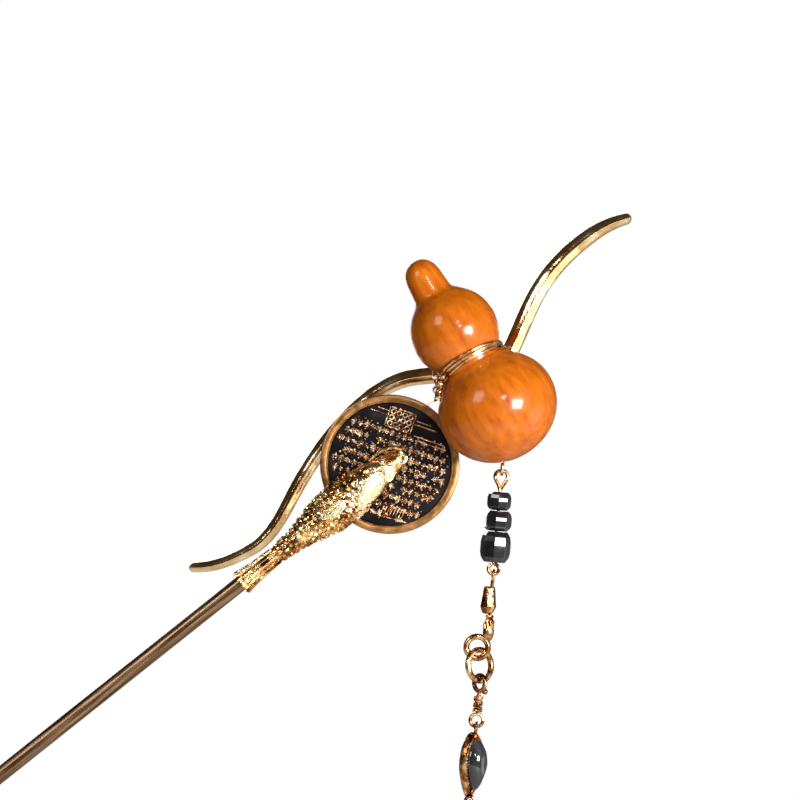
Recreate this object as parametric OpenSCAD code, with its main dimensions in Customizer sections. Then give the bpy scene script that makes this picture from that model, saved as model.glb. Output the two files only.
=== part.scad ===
/* [Shaft] */
// Diameter of the round rod that goes into the hair
shaft_d = 2.5; // [2:0.1:3]
// Length of the rod from the fish's tail to its point
shaft_len = 120; // [80:1:140]
// Length of the tapered point
tip_len = 14; // [8:1:20]
// Angle of the shaft and the fish above the horizontal
shaft_angle = 43.3; // [35:0.1:50]
// Length of the turned tenon that is fixed in the fish's tail
tenon_len = 8; // [5:0.5:9]

/* [Fish] */
// Length of the fish from its tail socket to its lips
fish_len = 33; // [30:0.5:34]
// Largest radius of the fish's body
fish_r = 3.75; // [3.4:0.05:4]
// Depth of the fish's flat back behind its axis
fish_back = 2.6; // [2.2:0.1:3]

/* [Medallion] */
// Diameter of the medallion
coin_d = 22.6; // [21:0.1:23]
// Thickness of the medallion at its rim
coin_t = 1.7; // [1.4:0.1:2]
// Width of the raised rim
rim_w = 1.3; // [1:0.1:1.8]
// Depth of the recess inside the rim
recess_t = 0.8; // [0.6:0.05:1]
// Thickness of the black enamel
enamel_t = 0.35; // [0.2:0.05:0.45]

/* [Wave bar] */
// Thickness of the flat bar from front to back
bar_t = 2.2; // [1.6:0.1:2.6]

/* [Gourd] */
// Largest radius of the lower bulb
bulb_r = 9.75; // [9:0.05:10]
// Half height of the lower bulb along the gourd's axis
bulb_h = 8.8; // [8.2:0.05:9]
// Radius of the upper bulb
upper_r = 7.05; // [6.5:0.05:7.2]
// Radius of the waist
waist_r = 5.1; // [4.8:0.05:5.3]
// Distance of the gourd's axis in front of the shaft's axis
gourd_y = -3.4; // [-3.6:0.1:-3.2]

/* [Wire] */
// Diameter of the wire that binds the gourd's waist
bind_d = 0.5; // [0.4:0.05:0.6]
// Diameter of the tassel's wire
wire_d = 0.6; // [0.5:0.05:0.6]
// Diameter of the heavy ring wire
ring_d = 1.0; // [0.8:0.05:1]

/* [Tassel] */
// Distance of the tassel's line to the right of the shaft's root
tassel_x = 39.8; // [39.6:0.1:39.9]
// Diameter of the widest black bead
bead_d = 4.9; // [4.2:0.1:5.0]
// Height of the leaf-shaped drop
leaf_h = 10.4; // [9:0.1:10.4]
// Width of the leaf-shaped drop
leaf_w = 5.4; // [4.6:0.1:5.6]
// Turn of the leaf's face away from the front
leaf_turn = 58; // [45:1:70]

/* [Hidden] */
$fn = 48;

gold = "gold";
rose = "rosybrown";
eps = 0.01;
press_gap = 0.02;
tenon_r = 0.85;

// Places of the main pieces
bulb_pos = [38.2, gourd_y, 31.2];
gourd_lean = 145.3;
upper_s = -14.2;
stem_end = -26.9;
waist_s = -8.7;
coin_x = 21.7;
coin_z = 20.5;
coin_front = fish_back;
coin_back = coin_front + coin_t;
bar_front = coin_back;
bar_back = bar_front + bar_t;

// Wave bar's middle line: x, z, heading along x and z, width
bar_knots = [
    [-8.6, 1.15, 1, 0.05, 1.7],
    [0.4, 4.8, 0.83, 0.56, 2.1],
    [7.2, 16.0, 0.42, 0.91, 2.4],
    [15.0, 28.4, 0.66, 0.75, 2.6],
    [24.1, 34.8, 0.97, 0.24, 2.7],
    [33.2, 36.9, 0.93, 0.37, 2.8],
    [39.8, 40.8, 0.36, 0.93, 2.9],
    [44.6, 52.8, 0.53, 0.85, 2.85],
    [50.85, 60.0, 0.76, 0.65, 2.6],
    [56.6, 63.4, 0.95, 0.31, 1.9]
];
bar_steps = 7;

// Levels of the tassel's pieces, from the gourd down
eye_r = 1.0;
eye_z = 21.45;
shank_r = 0.45;
wr = wire_d / 2;
link_gap = 0.05;
top_loop_r = 1.05;
top_loop_z = eye_z - eye_r + wire_d + link_gap - top_loop_r;
low_loop_r = 0.85;
low_loop_z = 5.1;
beads = [[14.6, 3.0, 3.9], [11.25, 3.3, 4.6], [6.2, 5.0, bead_d]];
bead_bore_r = wr + 0.06;
barrel_loop_r = 0.8;
barrel_loop_z = low_loop_z - low_loop_r + wire_d + link_gap - barrel_loop_r;
barrel_top = 2.3;
barrel_bottom = -2.2;
barrel_r = 1.4;
barrel_off = 0.45;
clasp_x = 38.2;
clasp_z = -7.7;
clasp_r = 1.75;
clasp_neck_bottom = -6.6;
rr = ring_d / 2;

// Swivel ring: it passes through the clasp's ring on a slant
swivel_r = 2.5;
swivel_slant = 42;
swivel_drop = 0.42;
swivel_dir = [0.22, 0, -0.9755];
swivel_side = [0.9755, 0, 0.22];
swivel_across = cos(swivel_slant) * swivel_side + [0, sin(swivel_slant), 0];
swivel_c = [clasp_x, 0, clasp_z] + (swivel_drop + swivel_r) * swivel_dir;
swivel_low_a = 180 + atan2(swivel_across[2], -swivel_dir[2]);
hang = swivel_c + swivel_r * (-cos(swivel_low_a) * swivel_dir + sin(swivel_low_a) * swivel_across);
hang_t = sin(swivel_low_a) * swivel_dir + cos(swivel_low_a) * swivel_across;
hang_heading = atan2(-hang_t[1], -hang_t[0]);

// Hook link below the swivel ring
hook_x = hang[0];
hook_y = hang[1];
hook_wr = 0.38;
hook_r = 1.3;
hook_z = hang[2] + rr + hook_wr + link_gap - hook_r;
eye2_r = 1.05;
eye2_z = -19.4;
wrap_r = 0.62;
wrap_wr = 0.22;
wrap_top = -15.4;
wrap_turns = 5;

// Leaf drop
leaf_loop_r = 0.75;
leaf_loop_z = eye2_z - eye2_r + wire_d + link_gap - leaf_loop_r;
leaf_top = leaf_loop_z - leaf_loop_r - 0.1;
leaf_mid = leaf_top - leaf_h / 2;
leaf_set_back = 0.4;
bezel_t = 1.4;
bezel_wall = 0.55;
back_t = 0.4;
dome_h = 2.0;
leaf_end_r = 0.7;
leaf_end_z = leaf_top - leaf_h - leaf_end_r + 0.1;

// End pin and bead
end_loop_r = 0.7;
end_loop_z = leaf_end_z - leaf_end_r + wire_d + link_gap - end_loop_r;
end_bead_h = 4.2;
end_bead_d = 3.2;
end_bead_z = end_loop_z - end_loop_r - wr - 0.5 - end_bead_h;
end_head_r = 0.6;

// Helpers

function hermite(a, b, t) = let(
    m = norm([b[0] - a[0], b[1] - a[1]]),
    h00 = 2 * t * t * t - 3 * t * t + 1,
    h10 = t * t * t - 2 * t * t + t,
    h01 = 3 * t * t - 2 * t * t * t,
    h11 = t * t * t - t * t)
    [for (k = [0, 1]) h00 * a[k] + h10 * m * a[k + 2] + h01 * b[k] + h11 * m * b[k + 2]];

function unit(v) = v / norm(v);

// Round wire bent along a path; up is the direction that its sections keep to
module bent_wire(path, r, up, closed = true, sides = 8) {
    n = len(path);
    last = closed ? n : n - 1;
    pts = [for (i = [0:n - 1]) let(
        before = path[closed ? (i + n - 1) % n : max(i - 1, 0)],
        after = path[closed ? (i + 1) % n : min(i + 1, n - 1)],
        t = unit(after - before),
        side = unit(cross(t, up)),
        top = cross(side, t))
        for (j = [0:sides - 1]) path[i] + r * (cos(360 * j / sides) * side + sin(360 * j / sides) * top)];
    walls = [for (i = [0:last - 1], j = [0:sides - 1]) let(
        a = i * sides, b = ((i + 1) % n) * sides, k = (j + 1) % sides)
        each [[a + j, a + k, b + k], [a + j, b + k, b + j]]];
    caps = closed ? [] : [[for (j = [sides - 1:-1:0]) j], [for (j = [0:sides - 1]) (n - 1) * sides + j]];
    polyhedron(pts, concat(walls, caps), convexity = 4);
}

// Ring with its hole facing the front
module ring_front(r, w) {
    rotate([90, 0, 0]) rotate_extrude() translate([r, 0]) circle(w, $fn = 24);
}

// Ring with its hole facing sideways
module ring_side(r, w) {
    rotate([0, 90, 0]) rotate_extrude() translate([r, 0]) circle(w, $fn = 24);
}

module on_tassel(z) {
    translate([tassel_x, 0, z]) children();
}

module on_hook(z) {
    translate([hook_x, hook_y, z]) children();
}

// Along the shaft's axis: z runs from the point to the fish's nose
module on_shaft() {
    rotate([0, 90 - shaft_angle, 0]) children();
}

module on_gourd() {
    translate(bulb_pos) rotate([0, gourd_lean, 0]) children();
}

// Shaft

module shaft() {
    r = shaft_d / 2;
    point_r = 0.6;
    color(rose) on_shaft() {
        translate([0, 0, tip_len - shaft_len]) cylinder(r = r, h = shaft_len - tip_len);
        translate([0, 0, -eps]) cylinder(r = tenon_r, h = tenon_len);
        translate([0, 0, -shaft_len + point_r]) cylinder(r1 = point_r, r2 = r, h = tip_len - point_r);
        translate([0, 0, -shaft_len + point_r]) sphere(point_r);
    }
}

// Fish

// Fish's outline: distance from the tail socket's shoulder, and share of the largest radius
fish_outline = [
    [0, 0.55], [0.7, 0.44], [2, 0.375], [6.5, 0.375], [8.2, 0.47], [9.3, 0.48], [12, 0.67],
    [15, 0.88], [18, 1], [21, 0.96], [25, 0.83], [28.5, 0.75], [31, 0.61], [33, 0.36]
];

// Smooth curve through a list of points, at a step k and a share t of the step
function through(p, k, t) = let(
    n = len(p) - 1,
    a = p[max(k - 1, 0)], b = p[k], c = p[k + 1], d = p[min(k + 2, n)])
    0.5 * (2 * b + (c - a) * t + (2 * a - 5 * b + 4 * c - d) * t * t + (3 * b - a - 3 * c + d) * t * t * t);

// One side fin: a leaf that leans back from the body, at a side of 1 or -1
module side_fin(side) {
    fin_t = 0.7;
    translate([0, 1.6, 0]) rotate([90, 0, 0]) linear_extrude(fin_t)
        polygon([
            [side * 2.4, 13.5], [side * 3.95, 16.4], [side * 3.9, 18],
            [side * 3.2, 20.5], [side * 2.4, 20.5]
        ]);
}

module carp_casting() {
    per = 4;
    n = len(fish_outline) - 1;
    stretch = fish_len / fish_outline[n][0];
    profile = [for (k = [0:n - 1], i = [0:per - 1]) through(fish_outline, k, i / per)];
    outline = [for (q = concat(profile, [fish_outline[n]])) [q[1] * fish_r, q[0] * (q[0] > 9 ? stretch : 1)]];
    socket_r = tenon_r + press_gap;
    color(gold) on_shaft() difference() {
        union() {
            intersection() {
                rotate_extrude() polygon(concat([[0, 0]], outline, [[0, fish_len]]));
                translate([-6, -6, -2]) cube([12, 6 + fish_back, fish_len + 3]);
            }
            for (side = [-1, 1]) side_fin(side);
            for (side = [-1, 1]) translate([side * 1.7, -2.4, 28.6]) sphere(0.5, $fn = 24);
            translate([-0.35, -fish_r - 0.3, 15.5]) cube([0.7, 1.5, 6.5]);
            translate([0, 0, fish_len]) rotate_extrude() translate([0.95, 0]) circle(0.42, $fn = 24);
        }
        translate([0, 0, -1]) cylinder(r = socket_r, h = tenon_len + 1.2);
    }
}

// Medallion

module at_coin(y) {
    translate([coin_x, y, coin_z]) rotate([-90, 0, 0]) children();
}

module medallion_plate() {
    color("darkgoldenrod") at_coin(coin_front) difference() {
        cylinder(r = coin_d / 2, h = coin_t, $fn = 96);
        translate([0, 0, -1]) cylinder(r = coin_d / 2 - rim_w, h = 1 + recess_t, $fn = 96);
    }
}

enamel_front = coin_front + recess_t - enamel_t;

module medallion_enamel() {
    color("black") at_coin(enamel_front)
        cylinder(r = coin_d / 2 - rim_w - press_gap, h = enamel_t, $fn = 96);
}

// One raised stroke on the medallion, from its middle
module stroke(x, z, turn, long, wide = 0.3) {
    relief_t = 0.35;
    translate([x, enamel_front - relief_t / 2, z]) rotate([0, -turn, 0])
        cube([long, relief_t, wide], center = true);
}

// A small leaf sprig: a stem with two leaves
module sprig(x, z) {
    stroke(x, z, 70, 1.5);
    stroke(x + 0.35, z + 0.25, 20, 0.9);
    stroke(x - 0.3, z - 0.15, 140, 0.9);
}

module medallion_relief() {
    rows = [[6.4, 3], [4.1, 4], [-3.6, 4]];
    pitch = 2.1;
    color("goldenrod") translate([coin_x, 0, coin_z]) rotate([0, 14, 0]) {
        for (k = [-1.5:1:1.5]) stroke(k * 0.95, 8.2, 90, 1.9, 0.25);
        for (k = [-1:1]) stroke(0, 8.2 + k * 0.8, 0, 3.2, 0.25);
        for (row = rows) for (k = [0:row[1] - 1])
            if (row[0] > 0) sprig((k - (row[1] - 1)) * pitch + 0.4, row[0]);
            else sprig(3.6 + k * 1.5, row[0] + k * 1.1);
        for (k = [0:3]) stroke(2.6 + k * 0.8, -6.6, 80, 1.7, 0.25);
        stroke(3.6, -7.6, 0, 4.2, 0.25);
    }
}

// Solder between the fish's flat back and the medallion's rim, and behind the medallion

module carp_solder() {
    pad_t = recess_t - enamel_t;
    color("silver") on_shaft() translate([0, coin_front, 24]) rotate([-90, 0, 0])
        cylinder(r = 1.2, h = pad_t - press_gap);
}

solder_pos = [15.6, 25.9];
solder_r = 0.9;

module bar_solder() {
    color("silver") translate([solder_pos[0], bar_front, solder_pos[1]]) rotate([-90, 0, 0])
        cylinder(r = solder_r, h = bar_t * 0.6);
}

// Wave bar

// The bar's outline with a margin all round, as thick as t from its back
module bar_blank(margin, t) {
    n = len(bar_knots) - 1;
    line = [
        for (i = [0:n - 1], k = [0:bar_steps - 1])
            hermite(bar_knots[i], bar_knots[i + 1], k / bar_steps)
    ];
    mid = concat(line, [[bar_knots[n][0], bar_knots[n][1]]]);
    m = len(mid);
    half = [for (i = [0:m - 1]) let(
        f = i / bar_steps, a = min(floor(f), n - 1), t = f - a)
        margin + (bar_knots[a][4] * (1 - t) + bar_knots[a + 1][4] * t) / 2];
    side = [for (i = [0:m - 1]) let(
        t = unit(mid[min(i + 1, m - 1)] - mid[max(i - 1, 0)])) [-t[1], t[0]]];
    upper = [for (i = [0:m - 1]) mid[i] + half[i] * side[i]];
    lower = [for (i = [m - 1:-1:0]) mid[i] - half[i] * side[i]];
    arc = [30:30:150];
    foot = [for (a = arc) mid[0] - half[0] * (cos(a) * side[0] + sin(a) * [side[0][1], -side[0][0]])];
    z = m - 1;
    head = [for (a = arc) mid[z] + half[z] * (cos(a) * side[z] + sin(a) * [side[z][1], -side[z][0]])];
    translate([0, bar_back, 0]) rotate([90, 0, 0])
        linear_extrude(t) polygon(concat(upper, head, lower, foot));
}

module wave_bar() {
    hole_t = bar_t * 0.6;
    color(gold) difference() {
        bar_blank(0, bar_t);
        translate([solder_pos[0], bar_front - 1, solder_pos[1]]) rotate([-90, 0, 0])
            cylinder(r = solder_r + press_gap, h = 1 + hole_t);
    }
}

// Gourd

function gourd_radius(s) = let(
    p = 7,
    low = bulb_r * sqrt(max(0, 1 - pow(s / bulb_h, 2))),
    up = upper_r * sqrt(max(0, 1 - pow((s - upper_s) / upper_r, 2))),
    waist = s > upper_s && s < 0 ? waist_r : 0,
    crown = -23.6,
    dome = pow(max(0, 1 - pow(max(0, crown - s) / (crown - stem_end), 2.4)), 0.42),
    stem = s < upper_s ? (3.2 + 0.09 * (s + 21)) * dome : 0)
    pow(pow(low, p) + pow(up, p) + pow(waist, p) + pow(stem, p), 1 / p);

module gourd() {
    steps = 72;
    outline = [for (i = [1:steps - 1]) let(
        f = (1 - cos(180 * i / steps)) / 2, s = stem_end + (bulb_h - stem_end) * f) [gourd_radius(s), s]];
    color("darkorange") difference() {
        on_gourd() rotate_extrude($fn = 96) polygon(concat([[0, stem_end]], outline, [[0, bulb_h]]));
        on_tassel(eye_z) cylinder(r = shank_r + press_gap, h = 6.4, $fn = 24);
        bar_blank(0.03, bar_t + 0.03);
    }
}

// Binding wire: turns round the gourd's waist, bowed up at the front

// The gourd's own frame, with its x to the upper right
module on_gourd_flat() {
    translate(bulb_pos) rotate([0, gourd_lean, 0]) mirror([1, 0, 0]) children();
}

module waist_wire() {
    turns = [-1, 0, 1];
    pitch = bind_d * 1.1;
    middle = waist_s + 0.9;
    bow = 1.6;
    gap = 0.12;
    steps = 32;
    color(gold) for (k = turns) {
        path = [for (i = [0:steps - 1]) let(
            a = 360 * i / steps,
            s = middle + k * pitch - bow * max(0, -sin(a)),
            slope = (gourd_radius(s + 0.1) - gourd_radius(s - 0.1)) / 0.2,
            r = gourd_radius(s) + (bind_d / 2 + gap) * sqrt(1 + slope * slope))
            [r * cos(a), r * sin(a), s]];
        on_gourd_flat() bent_wire(path, bind_d / 2, [0, 0, 1]);
    }
}

// Twisted ends of the lashing at the left of the waist, and its turn round the bar
module wire_lashing() {
    turns = 9;
    per = 10;
    coil_r = 0.45;
    pitch = 0.42;
    fine_r = 0.18;
    lean = 3;
    top = [28.7, -7.2, 35.2];
    bar_turn = [
        [27.9, -5.6, 35], [27.7, -4.6, 35], [27.3, -2.3, 34.9], [27.7, 0.6, 36.4], [28, 3.6, 38],
        [28.1, 5.4, 38.2], [28.1, 6.9, 37.9], [28.1, 7, 35.9],
        [28.1, 6.9, 33.9], [28.1, 5.4, 33.6], [28, 3.6, 33.65], [27.8, 0.6, 33.4], [27.6, -2.6, 32.9],
        [27.9, -5.6, 32.6]
    ];
    path = [for (i = [0:turns * per]) let(a = 360 * i / per)
        [coil_r * cos(a), coil_r * sin(a), -pitch * i / per]];
    tail = [for (i = [1:6]) [coil_r - 0.28 * i, -0.12 * i, -pitch * turns - 0.16 * i]];
    color(gold) {
        translate(top) rotate([0, lean, 0])
            bent_wire(concat(path, tail), fine_r, [0.01, 0, 1], closed = false, sides = 6);
        bent_wire(bar_turn, fine_r, [1, 0, 0], closed = false, sides = 6);
    }
}

// Screw eye under the gourd

module gourd_eye() {
    color(gold) on_tassel(0) {
        translate([0, 0, eye_z]) ring_side(eye_r, wr);
        translate([0, 0, eye_z + eye_r - 0.1]) cylinder(r = shank_r, h = 5);
    }
}

// Tassel

module bead_pin() {
    color(gold) on_tassel(0) {
        translate([0, 0, top_loop_z]) ring_front(top_loop_r, wr);
        translate([0, 0, low_loop_z]) ring_front(low_loop_r, wr);
        translate([0, 0, low_loop_z + low_loop_r])
            cylinder(r = wr, h = top_loop_z - top_loop_r - low_loop_z - low_loop_r);
    }
}

// Cut bead with flat sides and bevelled ends, on the pin
module cut_bead(z, h, d) {
    flats = 8;
    cut = h * 0.24;
    end_d = d * 0.72;
    difference() {
        union() {
            translate([0, 0, z + cut]) cylinder(d = d, h = h - 2 * cut, $fn = flats);
            translate([0, 0, z]) cylinder(d1 = end_d, d2 = d, h = cut + eps, $fn = flats);
            translate([0, 0, z + h - cut - eps]) cylinder(d1 = d, d2 = end_d, h = cut + eps, $fn = flats);
        }
        translate([0, 0, z - 1]) cylinder(r = bead_bore_r, h = h + 2, $fn = 24);
    }
}

module bead_upper() {
    color("black") on_tassel(0) cut_bead(beads[0][0], beads[0][1], beads[0][2]);
}

module bead_middle() {
    color("black") on_tassel(0) cut_bead(beads[1][0], beads[1][1], beads[1][2]);
}

module bead_lower() {
    color("black") on_tassel(0) cut_bead(beads[2][0], beads[2][1], beads[2][2]);
}

module barrel_wire() {
    color(gold) on_tassel(0) {
        translate([0, 0, barrel_loop_z]) ring_side(barrel_loop_r, wr);
        translate([0, 0, barrel_bottom - 1.2])
            cylinder(r = wr, h = barrel_loop_z - barrel_loop_r - barrel_bottom + 1.2);
    }
}

module barrel_tube() {
    color(gold) on_tassel(0) difference() {
        translate([-barrel_off, 0, 0]) {
            translate([0, 0, barrel_bottom + 1.1])
                cylinder(r1 = barrel_r, r2 = barrel_r * 0.75, h = barrel_top - barrel_bottom - 1.1, $fn = 8);
            translate([0, 0, barrel_bottom])
                cylinder(r1 = barrel_r * 0.7, r2 = barrel_r, h = 1.1 + eps, $fn = 8);
        }
        translate([0, 0, barrel_bottom - 1]) cylinder(r = wr + press_gap, h = 8, $fn = 24);
    }
}

module clasp_ring() {
    neck_r = 0.85;
    neck_top = barrel_bottom - 0.05;
    color(gold) difference() {
        union() {
            translate([clasp_x, 0, clasp_z]) ring_front(clasp_r, rr);
            on_tassel(clasp_neck_bottom) cylinder(r1 = 0.5, r2 = neck_r, h = 0.8);
            on_tassel(clasp_neck_bottom + 0.8 - eps) cylinder(r = neck_r, h = 1.4);
            on_tassel(clasp_neck_bottom + 2.2 - 2 * eps)
                cylinder(r1 = neck_r, r2 = 0.6, h = neck_top - clasp_neck_bottom - 2.2);
        }
        on_tassel(barrel_bottom - 1.2 - press_gap) cylinder(r = wr + press_gap, h = 3, $fn = 24);
    }
}

module swivel_ring() {
    normal = cross(swivel_dir, swivel_across);
    lean = acos(normal[2] / norm(normal));
    heading = atan2(normal[1], normal[0]);
    color(gold) translate(swivel_c) rotate([0, lean, heading])
        rotate_extrude() translate([swivel_r, 0]) circle(rr, $fn = 24);
}

module hook_wire() {
    neck_top = hook_z - hook_r;
    color(gold) {
        on_hook(hook_z) rotate([0, 0, hang_heading]) ring_side(hook_r, hook_wr);
        on_hook(eye2_z + eye2_r) cylinder(r = wr, h = neck_top - eye2_z - eye2_r);
        on_hook(eye2_z) ring_front(eye2_r, wr);
    }
}

module hook_wrap() {
    per = 10;
    pitch = 2 * wrap_wr + 0.06;
    path = [for (i = [0:wrap_turns * per]) let(a = 360 * i / per)
        [wrap_r * cos(a), wrap_r * sin(a), -pitch * i / per]];
    color(gold) on_hook(wrap_top) bent_wire(path, wrap_wr, [0.01, 0, 1], closed = false, sides = 6);
}

module hook_ball() {
    color(gold) on_hook(hook_z - hook_r) translate([hook_wr + 0.55, -0.3, 0]) sphere(0.5, $fn = 32);
}

// Leaf outline: half width at a fraction of the height from the top
function leaf_half(f) = 0.5 * pow(sin(180 * pow(f, 0.8)), 0.85);
module leaf_outline(w, h) {
    n = 22;
    right = [for (i = [1:n - 1]) [w * leaf_half(i / n), h / 2 - h * i / n]];
    left = [for (i = [n - 1:-1:1]) [-w * leaf_half(i / n), h / 2 - h * i / n]];
    polygon(concat([[0, h / 2]], right, [[0, -h / 2]], left));
}

// The leaf's frame: x across it, y towards its back
module on_leaf() {
    translate([hook_x, hook_y, leaf_mid]) rotate([0, 0, leaf_turn])
        translate([0, leaf_set_back, 0]) children();
}

module leaf_bezel() {
    color(gold) on_leaf() translate([0, bezel_t / 2, 0]) rotate([90, 0, 0]) difference() {
        linear_extrude(bezel_t) leaf_outline(leaf_w, leaf_h);
        translate([0, 0, -1]) linear_extrude(bezel_t + 2)
            leaf_outline(leaf_w - 2 * bezel_wall, leaf_h - 3.4 * bezel_wall);
    }
}

module leaf_back() {
    color(gold) on_leaf() translate([0, bezel_t / 2, 0]) rotate([90, 0, 0])
        linear_extrude(back_t)
            leaf_outline(leaf_w - 2 * bezel_wall - 2 * press_gap, leaf_h - 3.4 * bezel_wall - 2 * press_gap);
}

module leaf_stone() {
    w = leaf_w - 2 * bezel_wall - 2 * press_gap;
    h = leaf_h - 3.4 * bezel_wall - 2 * press_gap;
    body = bezel_t - back_t - press_gap + dome_h;
    dome_r = 7.6;
    color("black") on_leaf() translate([0, bezel_t / 2 - back_t - press_gap, 0])
        rotate([90, 0, 0]) intersection() {
        linear_extrude(body) leaf_outline(w, h);
        translate([0, 0, body - dome_r]) sphere(dome_r, $fn = 64);
    }
}

module leaf_loops() {
    color(gold) {
        on_hook(leaf_loop_z) ring_side(leaf_loop_r, wr);
        on_hook(leaf_end_z) ring_front(leaf_end_r, wr);
    }
}

module end_pin() {
    pin_bottom = end_bead_z - end_head_r - 0.05;
    color(gold) on_hook(0) {
        translate([0, 0, end_loop_z]) ring_side(end_loop_r, wr);
        translate([0, 0, pin_bottom]) cylinder(r = wr, h = end_loop_z - end_loop_r - pin_bottom);
        translate([0, 0, pin_bottom]) sphere(end_head_r, $fn = 32);
    }
}

module end_bead() {
    color("black") on_hook(0) cut_bead(end_bead_z, end_bead_h, end_bead_d);
}

shaft();
carp_casting();
medallion_plate();
medallion_enamel();
medallion_relief();
carp_solder();
bar_solder();
wave_bar();
gourd();
waist_wire();
wire_lashing();
gourd_eye();
bead_pin();
bead_upper();
bead_middle();
bead_lower();
barrel_wire();
barrel_tube();
clasp_ring();
swivel_ring();
hook_wire();
hook_wrap();
hook_ball();
leaf_bezel();
leaf_back();
leaf_stone();
leaf_loops();
end_pin();
end_bead();
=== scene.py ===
import bpy
from math import acos, atan2, cos, degrees, pi, radians, sin, sqrt
from mathutils import Matrix, Vector


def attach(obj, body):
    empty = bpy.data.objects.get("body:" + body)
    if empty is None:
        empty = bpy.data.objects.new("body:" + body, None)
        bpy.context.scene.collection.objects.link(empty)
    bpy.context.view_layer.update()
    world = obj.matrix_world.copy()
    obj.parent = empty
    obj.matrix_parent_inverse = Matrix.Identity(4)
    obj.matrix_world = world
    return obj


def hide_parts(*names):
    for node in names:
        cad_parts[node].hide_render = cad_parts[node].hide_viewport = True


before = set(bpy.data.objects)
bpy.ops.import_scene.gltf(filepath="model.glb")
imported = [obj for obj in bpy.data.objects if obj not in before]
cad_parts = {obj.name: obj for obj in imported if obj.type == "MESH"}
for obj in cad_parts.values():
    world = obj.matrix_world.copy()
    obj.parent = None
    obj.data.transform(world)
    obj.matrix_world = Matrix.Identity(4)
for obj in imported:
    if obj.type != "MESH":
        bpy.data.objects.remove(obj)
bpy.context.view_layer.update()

# ---------------------------------------------------------------- Studio
# A small pale table under the hanging pin, a camera in front, and a dim studio with six soft lights.
# The surroundings are dark above at the left and bright below at the right, so that the metal has contrast.

aim = Vector((0.02249, 0, 0.03101))
lens = 200
frame_width = 0.12903
camera_away = lens * frame_width / 36
bpy.ops.object.camera_add(location=aim - Vector((0, camera_away, 0)),
    rotation=(radians(90), radians(-4.78), 0))
camera = bpy.context.object
camera.data.lens = lens
bpy.context.scene.camera = camera
bpy.context.scene.view_settings.view_transform = "Standard"

table_top = -0.09
bpy.ops.mesh.primitive_circle_add(vertices=96, radius=0.2, fill_type="NGON", location=(0.02, 0, table_top))
table = bpy.context.object
table.name = "studio_table"
paint = bpy.data.materials.new("pale_table")
paint.use_nodes = True
paint.node_tree.nodes["Principled BSDF"].inputs["Base Color"].default_value = (0.78, 0.77, 0.75, 1)
paint.node_tree.nodes["Principled BSDF"].inputs["Roughness"].default_value = 0.6
table.data.materials.append(paint)

world = bpy.context.scene.world or bpy.data.worlds.new("studio")
bpy.context.scene.world = world
world.use_nodes = True
air = world.node_tree
air.nodes.clear()
out = air.nodes.new("ShaderNodeOutputWorld")
mix = air.nodes.new("ShaderNodeMixShader")
seen = air.nodes.new("ShaderNodeBackground")
seen.inputs["Color"].default_value = (1, 1, 1, 1)
seen.inputs["Strength"].default_value = 1.0
felt = air.nodes.new("ShaderNodeBackground")
felt.inputs["Strength"].default_value = 0.7
way = air.nodes.new("ShaderNodeTexCoord")
along = air.nodes.new("ShaderNodeVectorMath")
along.operation = "DOT_PRODUCT"
along.inputs[1].default_value = (0.62, -0.3, -0.72)
fade = air.nodes.new("ShaderNodeValToRGB")
fade.color_ramp.elements[0].position = 0.0
fade.color_ramp.elements[0].color = (0.07, 0.06, 0.05, 1)
fade.color_ramp.elements[1].position = 0.95
fade.color_ramp.elements[1].color = (0.8, 0.77, 0.72, 1)
knee = fade.color_ramp.elements.new(0.45)
knee.color = (0.11, 0.10, 0.09, 1)
spread = air.nodes.new("ShaderNodeMapRange")
spread.inputs["From Min"].default_value = -1
spread.inputs["From Max"].default_value = 1
ray = air.nodes.new("ShaderNodeLightPath")
air.links.new(way.outputs["Generated"], along.inputs[0])
air.links.new(along.outputs["Value"], spread.inputs["Value"])
air.links.new(spread.outputs["Result"], fade.inputs["Fac"])
air.links.new(fade.outputs["Color"], felt.inputs["Color"])
air.links.new(ray.outputs["Is Camera Ray"], mix.inputs["Fac"])
air.links.new(felt.outputs["Background"], mix.inputs[1])
air.links.new(seen.outputs["Background"], mix.inputs[2])
air.links.new(mix.outputs["Shader"], out.inputs["Surface"])

windows = [
    ("right_window", (0.62, -0.78, 0.10), 0.40, 0.14, 0.12, 2.8),
    ("small_window", (0.16, -0.92, 0.36), 0.45, 0.045, 0.045, 0.35),
    ("left_sheet", (-0.64, -0.68, 0.36), 0.42, 0.13, 0.15, 0.5),
    ("side_wall", (0.96, -0.05, -0.28), 0.42, 0.24, 0.30, 0.38),
    ("rear_fill", (-0.2, 0.97, 0.1), 0.45, 0.30, 0.30, 0.8),
    ("low_sheet", (0.45, -0.55, -0.7), 0.42, 0.16, 0.10, 0.4),
]
for name, way_to, away, wide, high, power in windows:
    direction = Vector(way_to).normalized()
    bpy.ops.object.light_add(type="AREA", location=aim + direction * away)
    light = bpy.context.object
    light.name = name
    light.rotation_euler = direction.to_track_quat("Z", "Y").to_euler()
    light.data.shape = "RECTANGLE"
    light.data.size = wide
    light.data.size_y = high
    light.data.energy = power

# ---------------------------------------------------------------- Shaft
# Round rod, drawn and lightly brushed along its length, in rose bronze. Its lower end is ground to a
# blunt point, and its upper end has a turned tenon that is fixed in the fish's tail.

MM = 0.001


def clear():
    """Leaves edit mode and deselects everything."""
    if bpy.context.object and bpy.context.object.mode != "OBJECT":
        bpy.ops.object.mode_set(mode="OBJECT")
    bpy.ops.object.select_all(action="DESELECT")


def pick(piece):
    clear()
    piece.select_set(True)
    bpy.context.view_layer.objects.active = piece


def edit_all():
    """Goes into edit mode with the whole piece selected."""
    bpy.ops.object.mode_set(mode="EDIT")
    bpy.ops.mesh.select_all(action="SELECT")


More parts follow.
